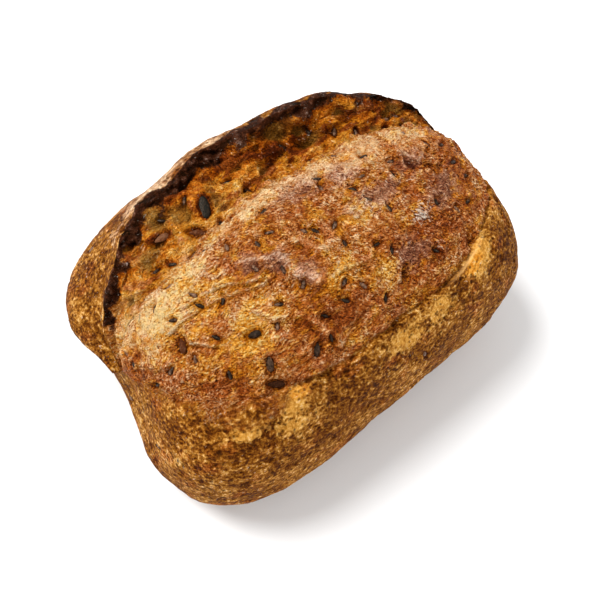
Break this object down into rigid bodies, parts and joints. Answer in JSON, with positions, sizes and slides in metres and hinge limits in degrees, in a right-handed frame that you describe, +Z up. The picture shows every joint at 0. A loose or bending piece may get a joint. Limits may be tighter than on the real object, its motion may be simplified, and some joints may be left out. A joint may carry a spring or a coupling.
{
  "type": "seeded sourdough loaf",
  "caption": "Oval hearth-baked sourdough loaf, long score opened into a dark raised ear, seeds over the crackled bloom, flat underside.",
  "frame": {"origin": "middle of the loaf's outline on the flat underside", "axes": "+X along the loaf's length, +Z up, and the ear stands on the +Y side of the opening"},
  "size_m": [0.2506, 0.188, 0.1281],
  "materials": {
    "baked_crust": "mottled golden to dark brown baked crust, floury and matte on the flanks, slightly glossy on the bloom"
  },
  "bodies": {
    "root": {"loaf": "baked_crust"}
  },
  "joints": []
}
